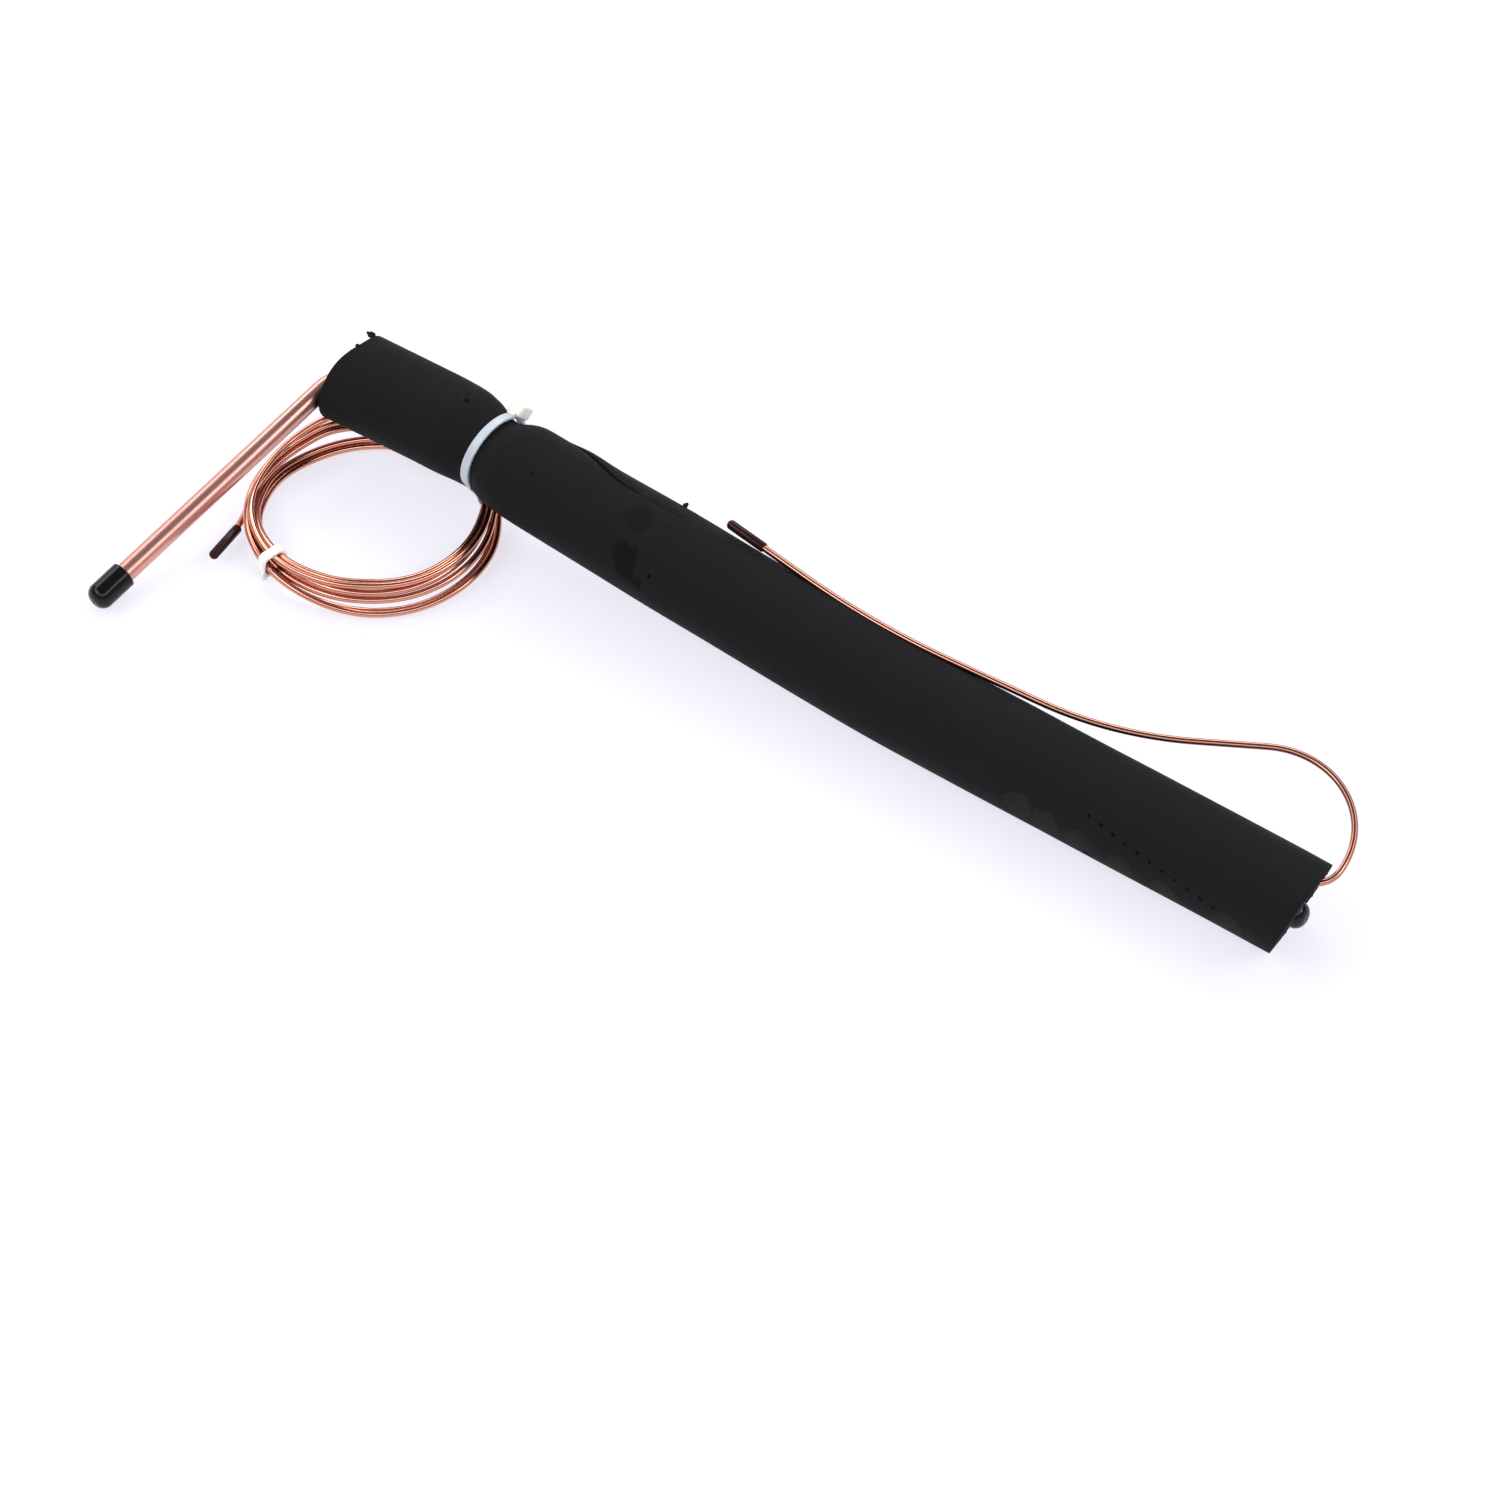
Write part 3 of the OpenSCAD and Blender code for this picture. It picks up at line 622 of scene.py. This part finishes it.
sleeve_short = make_piece(
    "sleeve_short_dressed",
    foam_length(short_stations, False, 12),
    crumb(on_skin(path_length - 0.9, 30, 0.1), (2.6, 1.9, 1.8), 3),
    crumb(on_skin(path_length - 1.5, 0, -0.1), (1.4, 1.1, 1.2), 4),
    crumb(on_skin(path_length - 1.2, 350, -0.2), (0.9, 1.0, 0.8), 5),
    crumb(on_skin(218.4, 50, 0.2), (1.1, 2.4, 1.5), 6),
    crumb(on_skin(288.6, 3, 0), (1.1, 1.0, 0.7), 7),
    crease=50,
)
for piece, replaced, finish in (
    (sleeve_long, "sleeve_long", long_foam),
    (sleeve_short, "sleeve_short", short_foam),
):
    piece.data.materials.append(finish)
    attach(piece, "root")
    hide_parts(replaced)


# Sleeve tie
# A milky nylon cable tie, 2.6 mm wide, drawn tight round the sleeve and the coil's bundle where they cross.
# Its square head sits at the top of the far side, with the strap's end cut off just past it.
strap_thickness = 1.1
sleeve_tie_width = 2.6
waist_gap = 0.5
strand_reach = 1.7
strand_turn = 1.1
strand_turn_depths = (11, 17)
head_angle = math.radians(50)
head_rise = 2.0
head_size = (5.0, 6.4, 4.2)
cut_end_size = (2.5, 1.8, 1.0)
tie_centre = bore_frame(tie_at)[0]


def hull_loop(circles, count):
    """The middle line of a strap drawn tight round circles of [side, height, radius], as even points of
    [side, height]: in each direction the circle that reaches furthest gives a point."""
    turn = np.linspace(0, 2 * np.pi, 1441)
    outward = np.stack([np.cos(turn), np.sin(turn)], -1)
    circles = np.array(circles)
    furthest = (outward @ circles[:, :2].T + circles[:, 2]).argmax(axis=1)
    line = circles[furthest, :2] + outward * circles[furthest, 2:]
    lengths = np.concatenate([[0], np.cumsum(np.linalg.norm(np.diff(line, axis=0), axis=1))])
    even = np.linspace(0, lengths[-1], count)
    return np.stack([np.interp(even, lengths, line[:, i]) for i in (0, 1)], -1)


def squared(turn, power):
    """Cosines and sines that make a rounded square of a circle, by a small power."""
    wave = np.stack([np.cos(turn), np.sin(turn)], -1)
    return np.sign(wave) * np.abs(wave) ** power


def strap(loop, centre, side, up, width):
    """A flat strap with rounded edges carried along a closed loop that lies across it."""
    across = np.cross(side, up)
    line = centre + loop[:, :1] * side + loop[:, 1:] * up
    along = unit(np.roll(line, -1, axis=0) - np.roll(line, 2, axis=0))
    outward = np.cross(along, across)
    section = squared(2 * np.pi * np.arange(24) / 24, 0.3)
    return (line[:, None] + across * section[:, :1] * width / 2
            + outward[:, None] * section[:, 1:] * strap_thickness / 2)


def block(centre, axes, size, power=0.3, count=20):
    """A block with rounded edges: a ball whose sines and cosines are raised to a small power."""
    latitude = squared(np.linspace(-np.pi / 2, np.pi / 2, count), power)
    longitude = squared(2 * np.pi * np.arange(2 * count) / (2 * count), power)
    flat = latitude[:, None, :1] * longitude[None]
    tall = np.broadcast_to(latitude[:, None, 1:], flat.shape[:2] + (1,))
    return centre + (np.concatenate([flat, tall], -1) * np.array(size) / 2) @ np.array(axes)


def nylon(name, colour, clear):
    """Moulded nylon: milky and a little see-through, with faint flow clouds and a soft gloss."""
    finish, tree, surface = new_finish(name)
    spot = put(tree, "TexCoord")
    clouds = put(tree, "TexNoise", {"Vector": spot.outputs["Object"], "Scale": 220.0, "Detail": 3.0})
    share = ramped(tree, clouds.outputs[0], 0.35, 0.7)
    paler = tuple(min(1, c * 1.06) for c in colour[:3]) + (1,)
    tree.links.new(mixed(tree, share, colour, paler), surface.inputs["Base Color"])
    tree.links.new(ramped(tree, clouds.outputs[0], 0.3, 0.7, 0.28, 0.42), surface.inputs["Roughness"])
    surface.inputs["Subsurface Weight"].default_value = 0.4
    surface.inputs["Subsurface Radius"].default_value = (0.9, 1.0, 1.1)
    surface.inputs["Subsurface Scale"].default_value = 0.001
    surface.inputs["Transmission Weight"].default_value = clear
    return finish


strap_radius = waist_od / 2 + waist_gap + strap_thickness / 2
level_far = np.array([0, 1.0, 0])
level_up = np.array([0, 0, 1.0])
tied_strands = [(-2.5, 7.9), (-1.4, 6.0), (0.9, 4.0), (1.9, 5.9)]
sleeve_loop = hull_loop(
    [(0, 0, strap_radius)] + [(side, height - tie_centre[2], strand_reach) for side, height in tied_strands],
    260,
)


def leaned(points):
    """The tie's points set on the slant it is drawn to: along the sleeve by how far they lie to its upper far
    side, and under the sleeve turned with the strands, which cross it."""
    away = points - tie_centre
    upper = away[..., 1] * math.sin(seen_side) + away[..., 2] * math.cos(seen_side)
    below = smoothed_step(-away[..., 2], *strand_turn_depths)
    moved = points.copy()
    moved[..., 0] = points[..., 0] + waist_shift + waist_lean * upper / strap_radius
    moved[..., 1] = points[..., 1] - strand_turn * below * away[..., 0]
    return moved


head_out = level_far * math.sin(head_angle) + level_up * math.cos(head_angle)
head_along = level_far * math.cos(head_angle) - level_up * math.sin(head_angle)
head_axes = (np.array([1.0, 0, 0]), head_along, head_out)
head_centre = tie_centre + head_out * (strap_radius + head_rise)
cut_end = head_centre - head_along * 3.4 - head_out * 1.6
sleeve_tie = make_piece(
    "sleeve_tie_dressed",
    leaned(strap(sleeve_loop, tie_centre, level_far, level_up, sleeve_tie_width)),
)
sleeve_tie.data.materials.append(nylon("clear_nylon", (0.72, 0.8, 0.86, 1), 0.3))
tie_head = make_piece(
    "sleeve_tie_head",
    leaned(block(head_centre, head_axes, head_size)),
    leaned(block(cut_end, head_axes, cut_end_size)),
)
tie_head.data.materials.append(nylon("thick_nylon", (0.86, 0.87, 0.8, 1), 0.0))
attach(tie_head, "root")
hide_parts("sleeve_tie")
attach(sleeve_tie, "root")
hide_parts("sleeve_tie")


# Coil tie
# A white nylon cable tie, 3 mm wide, drawn tight round the coil's bundle on its near side. Its small head
# lies low on the outside of the bundle.
coil_tie_width = 3.0
coil_tie_angle = math.radians(249.5)
coil_tie_radius = 32.5
coil_head_out = 3.8
coil_head_height = 2.7
coil_head_size = (3.2, 2.8, 1.8)
coil_out = np.array([math.cos(coil_tie_angle), math.sin(coil_tie_angle), 0])
coil_round = np.array([-math.sin(coil_tie_angle), math.cos(coil_tie_angle), 0])
coil_tie_centre = np.array([coil_x, coil_y, 0]) + coil_out * coil_tie_radius
coil_loop = hull_loop(
    [(-1.9, 5.6, 1.75), (-0.4, 4.0, 1.75), (2.2, 4.2, 1.75), (-1.6, 8.1, 1.9), (1.6, 7.4, 2.0)], 160
)
coil_head = coil_tie_centre + coil_out * coil_head_out + level_up * coil_head_height
coil_tie = make_piece(
    "coil_tie_dressed",
    strap(coil_loop, coil_tie_centre, coil_out, level_up, coil_tie_width),
    block(coil_head, (coil_round, level_up, coil_out), coil_head_size),
)
coil_tie.data.materials.append(nylon("white_nylon", (0.95, 0.93, 0.9, 1), 0.0))
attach(coil_tie, "root")
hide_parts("coil_tie")


# End caps
# Dipped vinyl caps pushed on the open ends: black ones on the suction tube, brown ones on the capillary.
# Each is a cup with a soft round end and a small dimple.
def dipped_vinyl(name, colour, shine):
    """Dipped vinyl: dark and glossy, with slow waves in the skin and smudges in the gloss."""
    finish, tree, surface = new_finish(name)
    spot = put(tree, "TexCoord")
    waves = put(tree, "TexNoise", {"Vector": spot.outputs["Object"], "Scale": 260.0, "Detail": 2.0})
    smudge = put(tree, "TexNoise", {"Vector": spot.outputs["Object"], "Scale": 600.0, "Detail": 5.0})
    paler = tuple(c * 1.3 for c in colour[:3]) + (1,)
    share = ramped(tree, smudge.outputs[0], 0.4, 0.75)
    tree.links.new(mixed(tree, share, colour, paler), surface.inputs["Base Color"])
    tree.links.new(ramped(tree, smudge.outputs[0], 0.35, 0.7, 0.08, 0.15), surface.inputs["Roughness"])
    surface.inputs["Specular IOR Level"].default_value = shine
    relief = put(tree, "Bump", {"Height": waves.outputs[0], "Strength": 0.2, "Distance": 0.0003})
    tree.links.new(relief.outputs[0], surface.inputs["Normal"])
    return finish


def cap_skin(tip, along, radius, length, wall, edge):
    """A cup turned about a line: its outline runs from the mouth's inner edge, out over the lip, along the
    side, round the end and into the dimple, as radius and distance back from the tip."""
    along = unit(np.array(along))
    bend = np.linspace(0, np.pi / 2, 10)
    outline = np.concatenate([
        [(0, wall + 0.1), (radius - wall, wall + 0.1)],
        [(radius - wall, length), (radius - wall / 2, length + 0.1)],
        [(radius, length - 0.2), (radius, length / 2)],
        np.stack([radius - edge * (1 - np.cos(bend)), edge * (1 - np.sin(bend))], -1),
        [(0.5 * (radius - edge), 0.02), (0.3 * (radius - edge), 0.12), (0, 0.2)],
    ])
    turn = 2 * np.pi * np.arange(40) / 40
    level = unit(np.cross(along, [0, 0, 1]))
    rise = np.cross(level, along)
    spoke = level * np.cos(turn)[:, None] + rise * np.sin(turn)[:, None]
    return np.array(tip) - along * outline[:, 1:, None] + spoke * outline[:, :1, None]


black_vinyl = dipped_vinyl("black_vinyl", (0.004, 0.004, 0.0045, 1), 0.25)
brown_vinyl = dipped_vinyl("brown_vinyl", (0.024, 0.008, 0.006, 1), 0.14)
tip_past_end = 1.3
tube_cap = {"radius": 4.05, "length": 12.4, "wall": 1.0, "edge": 3.2}
capillary_cap = {"radius": 1.45, "length": 13.5, "wall": 0.4, "edge": 1.3}
caps = {
    "suction_cap_inlet": (tube_path[-1], arm_along, tube_cap, black_vinyl, "black_vinyl"),
    "suction_cap_outlet": (tube_path[0], (1, 0, 0), tube_cap, black_vinyl, "black_vinyl"),
    "capillary_cap_coil": (free_end, free_along, capillary_cap, brown_vinyl, "brown_vinyl"),
    "capillary_cap_tail": (tail[-1], tail_along, capillary_cap, brown_vinyl, "brown_vinyl"),
}
for node, (end, along, sizes, finish, slot) in caps.items():
    tip = end + unit(np.array(along)) * tip_past_end
    cap = make_piece(node + "_dressed", cap_skin(tip, along, **sizes))
    cap.data.materials.append(finish)
    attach(cap, "root")
    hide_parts(node)


# Table, light and camera
# White paper on a table, under a dim sky with a bright band part of the way up and four weak, soft lamps. The
# camera looks down from the near side of the plain end.
def white_table():
    """White paper: for the camera and for reflections more than half of it is an even white glow, so that
    only a faint shadow shows, and for all other light it is plain white paper."""
    finish = bpy.data.materials.new("white_table")
    finish.use_nodes = True
    tree = finish.node_tree
    tree.nodes.clear()
    paper = put(tree, "BsdfDiffuse", {"Color": (0.86, 0.86, 0.88, 1)})
    glow = put(tree, "Emission", {"Color": (0.9, 0.9, 1.0, 1), "Strength": 1.24})
    path = put(tree, "LightPath")
    rays = {0: path.outputs["Is Camera Ray"], 1: path.outputs["Is Glossy Ray"]}
    seen = put(tree, "Math", rays, operation="ADD")
    seen = put(tree, "Math", {0: seen.outputs[0], 1: path.outputs["Is Transmission Ray"]}, operation="ADD")
    glow_share = 0.58
    share = put(tree, "Math", {0: seen.outputs[0], 1: glow_share}, operation="MULTIPLY")
    blend = put(tree, "MixShader", {0: share.outputs[0], 1: paper.outputs[0], 2: glow.outputs[0]})
    out = put(tree, "OutputMaterial", {"Surface": blend.outputs[0]})
    out.is_active_output = True
    return finish


table_mesh = bpy.data.meshes.new("table")
table_mesh.from_pydata([(-8, -8, 0), (8, -8, 0), (8, 8, 0), (-8, 8, 0)], [], [(0, 1, 2, 3)])
table_mesh.materials.append(white_table())
table = bpy.data.objects.new("table", table_mesh)
bpy.context.scene.collection.objects.link(table)

# The sky is dim and grows dimmer upwards, apart from a bright band that draws highlights on the copper.
world = bpy.context.scene.world or bpy.data.worlds.new("studio")
bpy.context.scene.world = world
world.use_nodes = True
sky = world.node_tree
heading = put(sky, "TexCoord")
parts = put(sky, "SeparateXYZ", {0: heading.outputs["Generated"]})
height = ramped(sky, parts.outputs[2], 0.1, 0.85)
dim = mixed(sky, height, (0.5, 0.5, 0.52, 1), (0.18, 0.18, 0.19, 1))
rising = ramped(sky, parts.outputs[2], 0.54, 0.62)
falling = ramped(sky, parts.outputs[2], 0.72, 0.8, 1, 0)
band = put(sky, "Math", {0: rising, 1: falling}, operation="MULTIPLY")
pale = mixed(sky, band.outputs[0], dim, (3.3, 3.3, 3.4, 1))
sky.links.new(pale, sky.nodes["Background"].inputs["Color"])
sky.nodes["Background"].inputs["Strength"].default_value = 1.0

lamps = {
    "right_back_box": ((1.3, 0.5, 1.05), 0.5, 3),
    "left_back_box": ((-1.5, 0.7, 0.8), 0.9, 3),
    "back_box": ((-0.67, 1.18, 1.33), 0.6, 4),
    "front_box": ((-0.8, -1.2, 1.5), 0.8, 5),
}
for name, (place, size, power) in lamps.items():
    light = bpy.data.lights.new(name, "AREA")
    light.shape = "SQUARE"
    light.size = size
    light.energy = power
    lamp = bpy.data.objects.new(name, light)
    lamp.location = place
    lamp.rotation_euler = (-Vector(place)).to_track_quat("-Z", "Y").to_euler()
    bpy.context.scene.collection.objects.link(lamp)

view_azimuth = math.radians(36.1)
view_elevation = math.radians(48)
view_distance = 2.2
view_target = Vector((0.00816, -0.00176, 0))
frame_pixels = 1500
focal_pixels = 7832
sensor_width = 36
view_back = Vector((
    math.sin(view_azimuth) * math.cos(view_elevation),
    -math.cos(view_azimuth) * math.cos(view_elevation),
    math.sin(view_elevation),
))
camera_data = bpy.data.cameras.new("camera")
camera_data.sensor_width = sensor_width
camera_data.lens = sensor_width * focal_pixels / frame_pixels
camera = bpy.data.objects.new("camera", camera_data)
camera.location = view_target + view_back * view_distance
camera.rotation_euler = (-view_back).to_track_quat("-Z", "Y").to_euler()
bpy.context.scene.collection.objects.link(camera)
bpy.context.scene.camera = camera
bpy.context.scene.view_settings.view_transform = "Standard"
